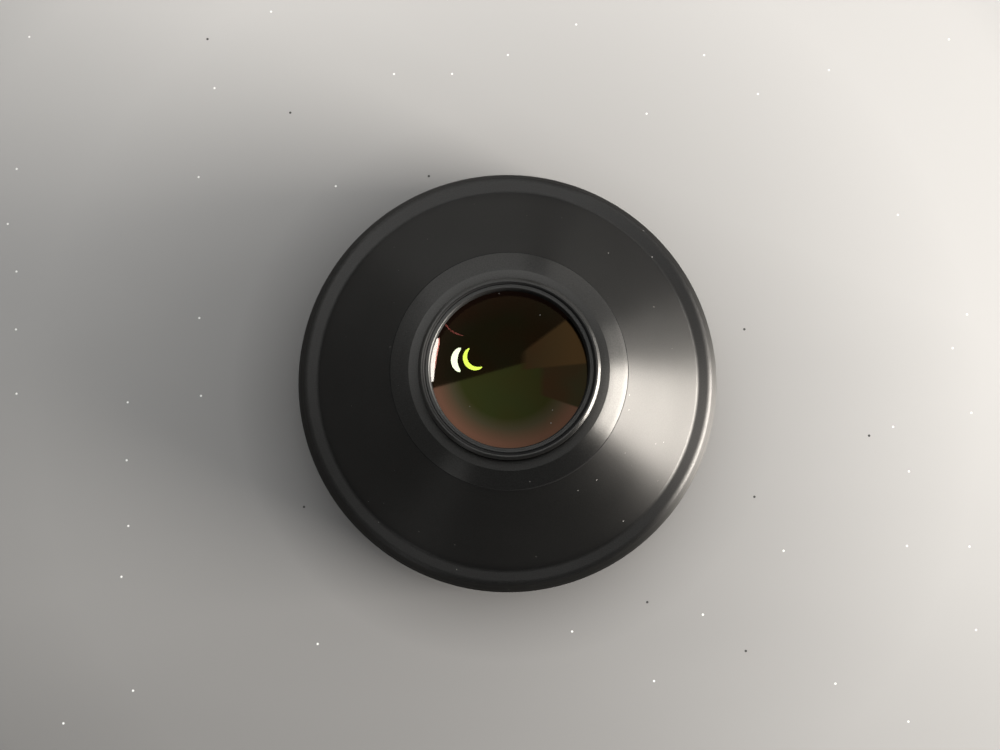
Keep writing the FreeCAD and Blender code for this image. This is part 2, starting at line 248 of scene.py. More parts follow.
class StudioForm(bpy.types.PropertyGroup):
    """The camera, the lamps, the room and the floor."""

    eye: FloatVectorProperty(
        name="Camera", description="Place of the camera", size=3, subtype="TRANSLATION", unit="LENGTH",
        default=(-1.44 * MM, -8.84 * MM, 165 * MM))
    tilt: angle("Camera tilt", "Turn of the camera away from straight down", 3.607)
    focal_length: FloatProperty(
        name="Focal length", description="Focal length of the camera, in millimetres", default=29.12)
    window_power: FloatProperty(
        name="Window", description="Power of the window lamp, in watts", default=46.5, unit="POWER")
    window_azimuth: angle("Window azimuth", "Direction of the window, turned from +X", -12)
    window_elevation: angle("Window elevation", "Height of the window above the horizon", 7.5)
    ceiling_azimuth: angle("Ceiling lamp azimuth", "Direction of the ceiling lamp, turned from +X", 106)
    ceiling_elevation: angle("Ceiling lamp elevation", "Height of the ceiling lamp above the horizon", 67)
    ambient_colour: paint("Ambient", "Colour of the room's even light on matt surfaces", 0.5, 0.5, 0.5)
    ceiling_colour: paint("Ceiling", "Colour of the room above the backdrop", 0.09, 0.09, 0.09)
    backdrop_bright: paint("Backdrop, bright", "Colour behind the floor, bright side", 0.5, 0.495, 0.48)
    backdrop_dark: paint("Backdrop, dark", "Colour behind the floor, dark side", 0.13, 0.13, 0.128)
    bright_azimuth: angle("Bright side", "Direction of the room's bright side, turned from +X", 60)
    # painted light: the floor's colour is painted paler on the window's side and darker away from it, in
    # place of the fall-off of the lamps' light
    floor_painted_lit_side: paint("Floor, near", "Floor on the window's side", 0.45, 0.444, 0.433)
    floor_painted_shaded_side: paint("Floor, far", "Floor on the side away from the window", 0.174, 0.173, 0.169)
    speck_pale: paint("Pale specks", "Colour of the pale specks on the floor", 0.8, 0.8, 0.78)
    speck_dark: paint("Dark specks", "Colour of the dark specks on the floor", 0.05, 0.05, 0.05)
    painted_light_fall_azimuth: angle("Fall-off", "Direction in which the floor grows paler, turned from +X", 60)
    painted_light_fall_middle: length("Fall-off middle", "Distance of the fall-off's middle from the axis", -32)
    painted_light_fall_width: length("Fall-off width", "Width over which the floor grows paler", 170)
    fade_start: length("Backdrop start", "Distance at which the floor starts to become the backdrop", 122)
    fade_end: length("Backdrop end", "Distance at which the floor has become the backdrop", 185)
    # painted shadow: the floor's colour is darkened round the lens, widely all round and narrowly at the rim,
    # deepest towards one side
    painted_shadow_start: length("Shade start", "Distance up to which the lens dulls the floor most", 43)
    painted_shadow_reach: length("Wide shade reach", "Width of the wide shade round the lens", 54)
    painted_shadow_depth: share_of("Wide shade", "Share of light that the wide shade takes", 0.26)
    painted_close_shadow_reach: length("Close shade reach", "Width of the narrow shade at the rim", 13)
    painted_close_shadow_depth: share_of("Close shade", "Share of light that the narrow shade takes at its sides", 0.12)
    painted_close_shadow_azimuth: angle("Close shade side", "Direction in which the narrow shade is deepest", -140)


class LensSettings(bpy.types.PropertyGroup):
    """All the settings of the lens."""

    form: PointerProperty(type=LensForm)
    finish: PointerProperty(type=LensFinish)
    studio: PointerProperty(type=StudioForm)


def settings():
    """The settings kept on the scene."""
    return bpy.context.scene.conversion_lens


class Value:
    """A node's output that can stand in a sum."""

    def __init__(self, owner, socket):
        self.owner = owner
        self.socket = socket

    def __add__(self, other):
        return self.owner.maths("ADD", self, other)

    def __radd__(self, other):
        return self.owner.maths("ADD", other, self)

    def __sub__(self, other):
        return self.owner.maths("SUBTRACT", self, other)

    def __rsub__(self, other):
        return self.owner.maths("SUBTRACT", other, self)

    def __mul__(self, other):
        return self.owner.maths("MULTIPLY", self, other)

    def __rmul__(self, other):
        return self.owner.maths("MULTIPLY", other, self)

    def __truediv__(self, other):
        return self.owner.maths("DIVIDE", self, other)

    def __rtruediv__(self, other):
        return self.owner.maths("DIVIDE", other, self)

    def __pow__(self, other):
        return self.owner.maths("POWER", self, other)

    def __lt__(self, other):
        return self.owner.maths("LESS_THAN", self, other)

    def __gt__(self, other):
        return self.owner.maths("GREATER_THAN", self, other)


class Nodes:
    """A tree of nodes under construction."""

    def __init__(self, tree):
        self.tree = tree

    def node(self, kind, setting=None, inputs=None, output=0):
        """Add a node: its settings come first, then the values or links of its sockets."""
        made = self.tree.nodes.new(kind)
        for name, value in (setting or {}).items():
            if name == "stops":
                set_stops(made.color_ramp, value)
            else:
                setattr(made, name, value)
        for name, value in (inputs or {}).items():
            if isinstance(value, Value):
                self.tree.links.new(value.socket, made.inputs[name])
            else:
                made.inputs[name].default_value = value
        return Value(self, made.outputs[output]) if made.outputs else None

    def maths(self, operation, first, second):
        return self.node("ShaderNodeMath", {"operation": operation}, {0: first, 1: second})

    def vector(self, x=0.0, y=0.0, z=0.0):
        return self.node("ShaderNodeCombineXYZ", None, {0: x, 1: y, 2: z})


class Sheet(Nodes):
    """The nodes of one material or of the world."""

    def __init__(self, holder):
        holder.use_nodes = True
        super().__init__(holder.node_tree)
        self.holder = holder
        self.tree.nodes.clear()

    def place(self):
        """The place on the piece."""
        return self.node("ShaderNodeTexCoord", output="Object")

    def parts(self, vector):
        """The three numbers of a vector."""
        split = self.node("ShaderNodeSeparateXYZ", None, {0: vector}).socket.node
        return [Value(self, socket) for socket in split.outputs]

    def radius(self):
        """The distance from the lens's axis."""
        x, y, _ = self.parts(self.place())
        return (x * x + y * y) ** 0.5

    def along(self, x, y, azimuth):
        """How far a place lies in a level direction."""
        return x * math.cos(azimuth) + y * math.sin(azimuth)

    def noise(self, vector, size, detail=2.0):
        """An even noise whose grains are so many millimetres wide."""
        return self.node("ShaderNodeTexNoise", None,
                         {"Vector": vector, "Scale": 1 / (size * MM), "Detail": detail})

    def blend(self, share, first, second):
        """Blend two colours."""
        return self.node("ShaderNodeMix", {"data_type": "RGBA"},
                         {"Factor": share, 6: opaque(first), 7: opaque(second)}, 2)

    def clamp(self, number):
        return self.node("ShaderNodeClamp", None, {"Value": number})

    def ramp(self, share, stops):
        """A colour from a number, through stops of a position and a colour."""
        return self.node("ShaderNodeValToRGB", {"stops": stops}, {"Fac": share})

    def arc(self, x, y, across, along, radius, width, middle, half):
        """A mask of a crescent, which is part of a ring and tapers off at its ends.

        Its place and sizes are in millimetres, its sweep in degrees.
        """
        x, y = x - across * MM, y - along * MM
        reach = (x * x + y * y) ** 0.5
        turn = self.along(x, y, math.radians(middle)) / reach
        off = (reach - radius * MM) / (width * MM)
        return off * off + (1.0 - turn) / (1 - math.cos(math.radians(half))) < 1.0

    def past_line(self, x, y, across, along, offset, edge):
        """A mask of one side of a line, with a soft edge, in millimetres."""
        return self.clamp((across * x + along * y + offset * MM) / (edge * MM) + 0.5)

    def bump(self, height):
        """The normal of a surface with a height, in millimetres."""
        return self.node("ShaderNodeBump", None, {"Strength": 1.0, "Distance": MM, "Height": height})

    def principled(self, **inputs):
        """The surface shader: a word's underscores stand for the socket's spaces."""
        named = {word.replace("_", " "): value for word, value in inputs.items()}
        named["Base Color"] = opaque(named["Base Color"])
        if isinstance(named.get("Normal"), Vector):
            named["Normal"] = self.vector(*named["Normal"])
        return self.node("ShaderNodeBsdfPrincipled", None, named)

    def mix(self, share, first, second):
        """Mix two shaders."""
        return self.node("ShaderNodeMixShader", None, {0: share, 1: first, 2: second})

    def finish(self, shader):
        """Join the shader to the material's output."""
        self.node("ShaderNodeOutputMaterial", None, {"Surface": shader})
        return self.holder


class Grove(Nodes):
    """A Geometry Nodes tree with named inputs, which ends in Realize Instances and Set Material."""

    def __init__(self, name, **inputs):
        super().__init__(bpy.data.node_groups.new(name, "GeometryNodeTree"))
        for word, kind in {"Geometry": "Geometry", **inputs, "Material": "Material"}.items():
            self.tree.interface.new_socket(word, in_out="INPUT", socket_type="NodeSocket" + kind)
        self.tree.interface.new_socket("Geometry", in_out="OUTPUT", socket_type="NodeSocketGeometry")
        entry = self.tree.nodes.new("NodeGroupInput")
        self.given = {socket.name: Value(self, socket) for socket in entry.outputs}

    def finish(self, geometry):
        """Realize the geometry, give it the material and end the tree."""
        real = self.node("GeometryNodeRealizeInstances", None, {"Geometry": geometry})
        made = self.node("GeometryNodeSetMaterial", None,
                         {"Geometry": real, "Material": self.given["Material"]})
        self.node("NodeGroupOutput", None, {0: made})
        return self.tree


def set_stops(ramp, stops):
    """Give a colour ramp its stops, each a position and a colour."""
    while len(ramp.elements) < len(stops):
        ramp.elements.new(1.0)
    for element, (position, colour) in zip(ramp.elements, stops):
        element.position = position
        element.color = opaque(colour)


def opaque(colour):
    """A colour with its alpha, or a link as it is."""
    return colour if isinstance(colour, Value) else (*colour[:3], 1.0)


def new_sheet(name):
    """An empty node sheet of a new material."""
    return Sheet(bpy.data.materials.new(name))


def dust_specks(sheet, spacing, size, share, dimensions="3D"):
    """A mask of round specks, in millimetres: the share says how many of the even places hold one."""
    cells = {"Vector": sheet.place(), "Scale": 1 / (spacing * MM)}
    kind = {"voronoi_dimensions": dimensions}
    distance = sheet.node("ShaderNodeTexVoronoi", kind, cells, "Distance")
    picked = sheet.parts(sheet.node("ShaderNodeTexVoronoi", kind, cells, "Color"))[0]
    return (distance < size / spacing) * (picked < share)


def turned_finish(name, colour, turning):
    """Black metal with turning marks round the axis, an even grain and a little dust.

    Within one radius and beyond another the metal is flat and darker; fine grooves run round the mouth.
    """
    finish = settings().finish
    sheet = new_sheet(name)
    place, radius = sheet.place(), sheet.radius()
    marks = sheet.noise(sheet.vector(radius, sheet.parts(place)[2]), turning.mark_width, 1.0)
    grain = sheet.noise(place, turning.grain_size)
    cloud = sheet.noise(place, 14, 3.0)
    dust = dust_specks(sheet, spacing=1.6, size=0.09, share=0.15)
    mottle = sheet.clamp(0.4 * cloud + 1.2 * grain - 0.3)
    tint = sheet.blend(mottle, [0.75 * part for part in colour], [1.25 * part for part in colour])
    dull = sheet.clamp((radius < turning.dull_inside * MM) + (radius > turning.dull_outside * MM))
    tint = sheet.blend(dull, tint, finish.stop)
    groove = sheet.maths("PINGPONG", radius / GROOVE_PITCH, 0.5) * (radius < GROOVED_RADIUS)
    height = marks * turning.mark_depth + grain * turning.grain_depth + groove * turning.groove_depth
    return sheet.finish(sheet.principled(
        Base_Color=sheet.blend(dust, tint, finish.dust),
        Metallic=1.0 - sheet.clamp(dust + dull),
        Roughness=turning.roughness + 0.05 * (grain - 0.5) + 0.04 * (cloud - 0.5) + 0.4 * (dust + dull),
        Specular_Tint=opaque(EDGE_TINT),
        Anisotropic=turning.anisotropy,
        Anisotropic_Rotation=0.25,
        Normal=sheet.bump(height)))


def satin_black():
    """Satin anodised black of the barrel and the front ring."""
    return turned_finish("satin anodised", settings().finish.anodised, SATIN)


def blasted_black():
    """Bead-blasted black of the mount ring."""
    return turned_finish("bead blasted", settings().finish.blasted, BLASTED)


def ring_black():
    """Smooth turned black of the threaded rings."""
    return turned_finish("fine turned", settings().finish.ring, FINE)


def plain_finish(name, colour, roughness, grain_size, grain_depth, metallic=0.0):
    """An even finish with a fine grain, whose sizes are in millimetres."""
    sheet = new_sheet(name)
    grain = sheet.noise(sheet.place(), grain_size, 3.0)
    tint = sheet.blend(grain, [0.8 * part for part in colour], [1.2 * part for part in colour])
    return sheet.finish(sheet.principled(
        Base_Color=tint,
        Metallic=metallic,
        Roughness=roughness + 0.15 * (grain - 0.5),
        Normal=sheet.bump(grain * grain_depth)))


def clear_coating(name, tint, alpha):
    """Coated glass that shows what lies behind it."""
    sheet = new_sheet(name)
    smear = sheet.noise(sheet.place(), 9, 3.0)
    return sheet.finish(sheet.principled(
        Base_Color=sheet.blend(smear, tint, [0.8 * part for part in tint]),
        Metallic=1.0,
        Roughness=0.02 + 0.03 * smear,
        Alpha=alpha))


def hollow_mirror(sheet, x, y):
    """The coated face behind the rear glass: it is hollow and mirrors the ceiling, and dust lies on it."""
    finish = settings().finish
    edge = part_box("rear_crown_lens")[1].x
    dust = dust_specks(sheet, spacing=1.6, size=0.08, share=0.18)
    bands = sheet.ramp(sheet.radius() / edge, [
        (0.61, finish.coating_middle), (0.74, finish.coating_ring), (0.92, finish.coating_edge)])
    tint = sheet.blend(0.5 * sheet.clamp(0.6 + x / (14 * MM)), bands, (0, 0, 0))
    slope = -1 / HOLLOW_CURVE
    normal = sheet.vector(x * slope, (y - HOLLOW_RISE) * slope, 1.0)
    return sheet.principled(
        Base_Color=sheet.blend(dust, tint, finish.dust),
        Metallic=1.0 - dust,
        Roughness=0.04 + 0.5 * dust,
        Normal=sheet.node("ShaderNodeVectorMath", {"operation": "NORMALIZE"}, {0: normal}))


def painted_ceiling_reflection(sheet, x, y):
    """The reflection of the ceiling lamp in the inner faces, partly painted: masks on the glass place it and
    paint it brighter on the window's side, and a normal aimed near the ceiling lamp lights it. Returns the
    share that shows, and its shader.
    """
    finish = settings().finish
    past = {name: sheet.past_line(x, y, *line) for name, line in CEILING_REFLECTION_LINES.items()}
    beside = past["upper"] * past["under_ray"] * past["past_middle"]
    below = (1.0 - past["upper"]) * past["near_edge"] * past["over_low_ray"]
    cloud = sheet.clamp(3.0 * sheet.noise(sheet.place(), 6, 1.0) - 1.0)
    far = sheet.blend(cloud, finish.ceiling_reflection_red, finish.ceiling_reflection_olive)
    return 0.35 + 0.65 * (beside + below), sheet.principled(
        Base_Color=sheet.blend(beside * sheet.clamp(x / (10 * MM)), far, finish.ceiling_reflection_near),
        Metallic=1.0,
        Roughness=GHOST_ROUGHNESS,
        Normal=room_lamps()["ceiling"].half_way(CEILING_LIFT))


def window_glints(sheet, x, y):
    """The window's reflection in the inner faces, partly painted: arcs masked on the glass place it, and a
    normal aimed half way to the window lamp lights it. Returns the share that shows, and its shader.
    """
    finish = settings().finish
    shown = 0.0
    colour = finish.glint_cool
    for arc, name in WINDOW_ARCS:
        mask = sheet.arc(x, y, *arc)
        colour = sheet.blend(mask, colour, getattr(finish, name))
        shown = mask + shown
    return 0.5 * sheet.clamp(shown), sheet.principled(
        Base_Color=colour,
        Metallic=1.0,
        Roughness=GHOST_ROUGHNESS,
        Normal=room_lamps()["window"].half_way())


def rear_coating():
    """Coated glass: the hollow face behind it, then the painted reflections of the ceiling lamp and of the
    window in the faces further in.
    """
    sheet = new_sheet("rear coating")
    x, y, _ = sheet.parts(sheet.place())
    surface = hollow_mirror(sheet, x, y)
    for share, shader in (painted_ceiling_reflection(sheet, x, y), window_glints(sheet, x, y)):
        surface = sheet.mix(share, surface, shader)
    return sheet.finish(surface)


def seam_point(corner):
    """A corner of a turned node as (radius, height), if it lies on the half plane of the node's seam."""
    if abs(corner.y) > SAME_POINT or corner.x < -SAME_POINT:
        return None
    return round(max(corner.x, 0.0), ROUNDING), round(corner.z, ROUNDING)


def outline_of(node):
    """The half section of a turned node: its (radius, height) points in order.

    A flat ring has no edge along the seam, so its two ends, which have one height, are joined.
    """
    mesh = frame["nodes"][node].data
    beside = {}
    for polygon in mesh.polygons:
        points = [seam_point(mesh.vertices[index].co) for index in polygon.vertices]
        for first, second in zip(points, points[1:] + points[:1]):
            if first and second and first != second:
                beside.setdefault(first, set()).add(second)
                beside.setdefault(second, set()).add(first)
    loose = [point for point, near in beside.items() if len(near) == 1 and point[0] > 0]
    for first in loose:
        for second in loose:
            if first != second and first[1] == second[1]:
                beside[first].add(second)
    start = min(beside)
    outline = [start]
    while True:
        ahead = [point for point in sorted(beside[outline[-1]]) if point not in outline]
        if not ahead:
            return [Vector(point) for point in outline]
        outline.append(ahead[0])


def turn_at(before, here, after):
    """How far an outline turns at a point, as a signed angle."""
    return (here - before).angle_signed(after - here, 0.0)


def domed(outline):
    """Redraw the two domes of a glass: each runs from the axis to the first corner."""
    corners = [index for index in range(1, len(outline) - 1)
               if abs(turn_at(*outline[index - 1:index + 2])) > CORNER]
    first, last = corners[0], corners[-1]
    start = dome(outline[0], outline[first])
    end = dome(outline[-1], outline[last])
    return start + outline[first + 1:last] + end[::-1]


def dome(vertex, edge):
    """Points of a sphere's section from its vertex on the axis to its edge."""
    depth = edge.y - vertex.y
    if abs(depth) < SAME_POINT:
        return [vertex, edge]
    curve = (edge.x ** 2 + depth ** 2) / (2 * depth)
    radii = [edge.x * index / DOME_RINGS for index in range(DOME_RINGS + 1)]
    return [Vector((radius, vertex.y + curve - math.copysign(math.sqrt(curve ** 2 - radius ** 2), curve)))
            for radius in radii]


def softened(outline, amount, foot=None):
    """Round each corner of an outline with an arc.

    The ends on the axis stay, and the foot of the barrel's cone has its own radius.
    """
    rounded = []
    count = len(outline)
    for index, here in enumerate(outline):
        before = outline[index - 1]
        after = outline[(index + 1) % count]
        turn = turn_at(before, here, after)
        if here.x < SAME_POINT or abs(turn) < CORNER:
            rounded.append(here)
            continue
        room = ROUND_ROOM * min((here - before).length, (after - here).length)
        radius = settings().form.foot_round if here is foot else amount
        back = min(radius * math.tan(abs(turn) / 2), room)
        start = here + (before - here).normalized() * back
        end = here + (after - here).normalized() * back
        steps = max(2, round(abs(turn) / (FOOT_STEP if here is foot else ARC_STEP)))
        for step in range(steps + 1):
            share = step / steps
            rounded.append(start.lerp(here, share).lerp(here.lerp(end, share), share))
    return rounded


def placed(name, data):
    """A new object in the scene."""
    made = bpy.data.objects.new(name, data)
    bpy.context.scene.collection.objects.link(made)
    return made


def lathe(name, outline, segments):
    """Turn an outline about the axis into a closed mesh."""
    form = bmesh.new()
    rings = []
    for radius, height in outline:
        count = 1 if radius < SAME_POINT else segments
        rings.append([form.verts.new((radius * math.cos(math.tau * step / segments),
                                      radius * math.sin(math.tau * step / segments), height))
                      for step in range(count)])
    pairs = list(zip(rings, rings[1:]))
    if len(rings[0]) > 1:
        pairs.append((rings[-1], rings[0]))
    for low, high in pairs:
        for step in range(segments):
            corners = [low[step % len(low)], low[(step + 1) % segments % len(low)],
                       high[(step + 1) % segments % len(high)], high[step % len(high)]]
            form.faces.new(list(dict.fromkeys(corners)))
    bmesh.ops.recalc_face_normals(form, faces=form.faces)
    mesh = bpy.data.meshes.new(name)
    form.to_mesh(mesh)
    form.free()
    return placed(name, mesh)


def settle(piece):
    """Turn a piece and its modifiers into a plain mesh."""
    graph = bpy.context.evaluated_depsgraph_get()
    mesh = bpy.data.meshes.new_from_object(piece.evaluated_get(graph), preserve_all_data_layers=True,
                                           depsgraph=graph)
    piece.modifiers.clear()
    piece.data = mesh
    return piece


def cut(piece, cutters):
    """Cut holes or slots in a piece."""
    for cutter in cutters:
        modifier = piece.modifiers.new("cut", "BOOLEAN")
        modifier.operation = "DIFFERENCE"
        modifier.solver = "EXACT"
        modifier.object = cutter
    settle(piece)
    for cutter in cutters:
        bpy.data.objects.remove(cutter)


def dress(piece, material, slot, *nodes):
    """Shade a finished piece, give it its material and hang it on the body of the nodes it stands for."""
    piece.data.shade_smooth()
    piece.data.set_sharp_from_angle(angle=SHARP)
    modifier = piece.modifiers.new("shade", "WEIGHTED_NORMAL")
    modifier.keep_sharp = True
    modifier.weight = 100
    settle(piece)
    piece.data.materials.clear()
    piece.data.materials.append(material)
    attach(piece, ROOT)
    if nodes:
        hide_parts(*nodes)
    return piece


def cone_foot(outline):
    """The barrel's one hollow corner that isn't square: there the long cone meets the flat band."""
    count = len(outline)
    for index, here in enumerate(outline):
        if -SLANTED < turn_at(outline[index - 1], here, outline[(index + 1) % count]) < -CORNER:
            return here
    raise ValueError("the barrel has no slanted hollow corner")


def turned_piece(node, material, slot, outline=None, cutters=(), foot=None):
    """The finished stand-in of a turned node."""
    form = settings().form
    drawn = softened(outline or outline_of(node), form.edge_round, foot)
    piece = lathe("finished_" + node, drawn, form.segments)
    if cutters:
        cut(piece, cutters)
    return dress(piece, material, slot, node)


def turned_glass(node, material, slot):
    """The finished stand-in of a glass."""
    return turned_piece(node, material, slot, domed(outline_of(node)))


def merged_piece(node, material, slot):
    """The finished stand-in of a notched node: a merged copy of its mesh, so that it shades smoothly."""
    form = bmesh.new()
    form.from_mesh(frame["nodes"][node].data)
    bmesh.ops.remove_doubles(form, verts=form.verts, dist=SAME_POINT)
    mesh = bpy.data.meshes.new("finished_" + node)
    form.to_mesh(mesh)
    form.free()
    return dress(placed("finished_" + node, mesh), material, slot, node)


def thread_tree():
    """A thread's ridge: a spiral with a trapezium section, which fades out at both ends."""
    grove = Grove("thread", Radius="Float", Bottom="Float", Pitch="Float", Turns="Float",
                  Depth="Float", Crest="Float", Segments="Int")
    given = grove.given
    spiral = grove.node("GeometryNodeCurveSpiral", None, {
        "Resolution": given["Segments"], "Rotations": given["Turns"], "Start Radius": given["Radius"],
        "End Radius": given["Radius"], "Height": given["Pitch"] * given["Turns"]})
    lifted = grove.node("GeometryNodeTransform", None,
                        {"Geometry": spiral, "Translation": grove.vector(z=given["Bottom"])})
    path = grove.node("GeometryNodeSetCurveNormal", {"mode": "Z_UP"}, {"Curve": lifted})
    section = grove.node("GeometryNodeCurvePrimitiveQuadrilateral", {"mode": "TRAPEZOID"}, {
        "Bottom Width": given["Pitch"] * ROOT_SHARE, "Top Width": given["Crest"],
        "Height": given["Depth"], "Offset": 0.0})
    stood = grove.node("GeometryNodeTransform", None,
                       {"Geometry": section, "Translation": grove.vector(y=given["Depth"] * 0.5)})
    turned = grove.node("GeometryNodeTransform", None,
                        {"Geometry": stood, "Rotation": grove.vector(z=math.radians(90))})
    along = grove.node("GeometryNodeSplineParameter")
    nearest = grove.maths("MINIMUM", along, 1.0 - along)
    fade = grove.node("ShaderNodeMapRange", None, {
        "Value": nearest, "From Min": 0.0, "From Max": FADE_SHARE, "To Min": 0.02, "To Max": 1.0})
    ridge = grove.node("GeometryNodeCurveToMesh", None, {
        "Curve": path, "Profile Curve": turned, "Scale": fade, "Fill Caps": True})
    return grove.finish(ridge)


def ring_tree():
    """Copies of a piece, evenly spaced round the axis."""
    grove = Grove("round_axis", Count="Int", Turn="Float")
    given = grove.given
    points = grove.node("GeometryNodePoints", None, {"Count": given["Count"]})
    turn = grove.node("GeometryNodeInputIndex") * (math.tau / given["Count"]) + given["Turn"]
    copies = grove.node("GeometryNodeInstanceOnPoints", None, {
        "Points": points, "Instance": given["Geometry"], "Rotation": grove.vector(z=turn)})
    return grove.finish(copies)


def grown(piece, tree, material, **values):
    """Run a Geometry Nodes tree on a piece and keep the result as a plain mesh."""
    modifier = piece.modifiers.new(tree.name, "NODES")
    modifier.node_group = tree
    values["Material"] = material
    for socket in tree.interface.items_tree:
        if socket.in_out == "INPUT" and socket.name in values:
            modifier[socket.identifier] = values[socket.name]
    settle(piece)
    face_outwards(piece.data)
    return piece


def face_outwards(mesh):
    """Turn every face of a closed mesh outwards."""
    form = bmesh.new()
    form.from_mesh(mesh)
    bmesh.ops.recalc_face_normals(form, faces=form.faces)
    form.to_mesh(mesh)
    form.free()


def thread(name, material, slot, radius, bottom, top, depth):
    """A thread between two heights: depth is below zero where its ridge points to the axis."""
    form = settings().form
    seed = placed(name, bpy.data.meshes.new(name))
    piece = grown(seed, thread_tree(), material, Radius=radius, Bottom=bottom, Pitch=form.thread_pitch,
                  Turns=(top - bottom) / form.thread_pitch, Depth=depth, Crest=form.crest_width,
                  Segments=THREAD_SEGMENTS)
    return dress(piece, material, slot)


def screw_facts():
    """The grub screws' radius, their height, and their inner and outer ends."""
    low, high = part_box("filter_ring_screws")
    first = [corner.co.y for corner in frame["nodes"]["filter_ring_screws"].data.vertices
             if corner.co.y > 2 * abs(corner.co.x)]
    return (high.z - low.z) / 2, (high.z + low.z) / 2, min(first), max(first)


def laid_out(piece, inner, height):
    """Lay an upright turned piece along +X, at a radius and a height."""
    piece.data.transform(Matrix.Translation((inner, 0, height)) @ Matrix.Rotation(math.radians(90), 4, "Y"))
    return piece


def screw_hole_cutters():
    """One cutter for each grub screw's hole, with a flare where it meets the barrel's wall."""
    form = settings().form
    radius, height, inner, _ = screw_facts()
    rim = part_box("main_barrel")[1].x
    clear = radius + HOLE_CLEARANCE
    depth = rim - inner + HOLE_CLEARANCE
    end = depth + form.hole_flare
    outline = [Vector(point) for point in (
        (0, 0), (clear, 0), (clear, depth - form.hole_flare), (clear + 2 * form.hole_flare, end), (0, end))]
    cutters = []
    for index in range(SCREW_COUNT):
        cutter = laid_out(lathe("hole", outline, SCREW_SEGMENTS), inner - HOLE_CLEARANCE, height)
        turn = FIRST_SCREW + math.tau / SCREW_COUNT * index
        cutter.data.transform(Matrix.Rotation(turn, 4, "Z"))
        cutters.append(cutter)
    return cutters


def boss_outline():
    """The mount ring's outline with its boss cut down to the thread's root, below a full top edge.

    The outline runs down the boss: the thread's crest ends at its foot, over the relief that has its root.
    """
    form = settings().form
    crest = MOUNTS["rear_thread"]["dims"]["r_mm"] * MM
    root = crest - form.thread_depth
    drawn = outline_of("mount_ring")
    top, foot = [point for point in drawn if abs(point.x - crest) < SAME_POINT
                 and point.y > MOUNTS["rear_shoulder"]["pos_m"][2]]
    outline = []
    for point in drawn:
        if point is top:
            outline += [point, Vector((crest, top.y - form.crest_width)),
                        Vector((root, top.y - form.thread_depth))]
        elif point is not foot:
            outline.append(point)
    return outline, root, foot.y, top.y


def background_rays(sheet):
    """A mask of the rays that show the background: the camera's, reflections and those through glass."""
    seen = [sheet.node("ShaderNodeLightPath", output=name)
            for name in ("Is Camera Ray", "Is Glossy Ray", "Is Transmission Ray")]
    return sheet.clamp(seen[0] + seen[1] + seen[2])


def backdrop(sheet, x, y):
    """The backdrop's colour in a level direction."""
    studio = settings().studio
    facing = sheet.along(x, y, studio.bright_azimuth) / (x * x + y * y) ** 0.5
    return sheet.blend(0.5 + 0.5 * facing, studio.backdrop_dark, studio.backdrop_bright)


def floor_sheet():
    """A pale surface with painted light: its colour is painted paler towards the window's side as a painted
    light fall-off, and darkened round the lens as a painted shadow. Far away it becomes the backdrop.
    """
    studio = settings().studio
    sheet = new_sheet("floor sheet")
    x, y, _ = sheet.parts(sheet.place())
    cloud = sheet.noise(sheet.vector(x, 4.0 * y), 250, 3.0)
    # painted light fall-off: the floor's colour grows paler towards the window's side
    across = sheet.along(x, y, studio.painted_light_fall_azimuth) - studio.painted_light_fall_middle
    share = sheet.clamp(across / studio.painted_light_fall_width + 0.5 + 0.22 * (cloud - 0.5))
    distance = sheet.radius()
    # painted shadow round the lens: a wide one, and a narrow one at the rim that is deepest towards one side
    beyond = distance - studio.painted_shadow_start
    lee = sheet.along(x, y, studio.painted_close_shadow_azimuth) / distance
    painted_wide_shadow = studio.painted_shadow_depth * (1.0 - sheet.clamp(beyond / studio.painted_shadow_reach))
    painted_close_shadow = studio.painted_close_shadow_depth * (1.0 + lee) * (1.0 - sheet.clamp(beyond / studio.painted_close_shadow_reach))
    tint = sheet.blend(share, studio.floor_painted_shaded_side, studio.floor_painted_lit_side)
    tint = sheet.blend(painted_wide_shadow + painted_close_shadow, tint, (0.0, 0.0, 0.0))
    pale_specks = dust_specks(sheet, spacing=13, size=0.22, share=0.3, dimensions="2D")
    dark_specks = dust_specks(sheet, spacing=23, size=0.25, share=0.3, dimensions="2D")
    tint = sheet.blend(dark_specks, sheet.blend(pale_specks, tint, studio.speck_pale), studio.speck_dark)
    near = sheet.principled(Base_Color=tint, Roughness=0.8 + 0.1 * cloud, Specular_IOR_Level=0.0)
    far = sheet.node("ShaderNodeEmission", None, {"Color": backdrop(sheet, x, y), "Strength": 1.0})
    away = sheet.clamp((distance - studio.fade_start) / (studio.fade_end - studio.fade_start))
    return sheet.finish(sheet.mix(away * background_rays(sheet), near, far))


def stage_floor():
    """The floor that the lens stands on."""
    mesh = bpy.data.meshes.new("floor")
    corners = [(side * FLOOR_REACH, end * FLOOR_REACH, 0)
               for side, end in ((-1, -1), (1, -1), (1, 1), (-1, 1))]
    mesh.from_pydata(corners, [], [(0, 1, 2, 3)])
    mesh.materials.append(floor_sheet())
    floor = placed("floor", mesh)


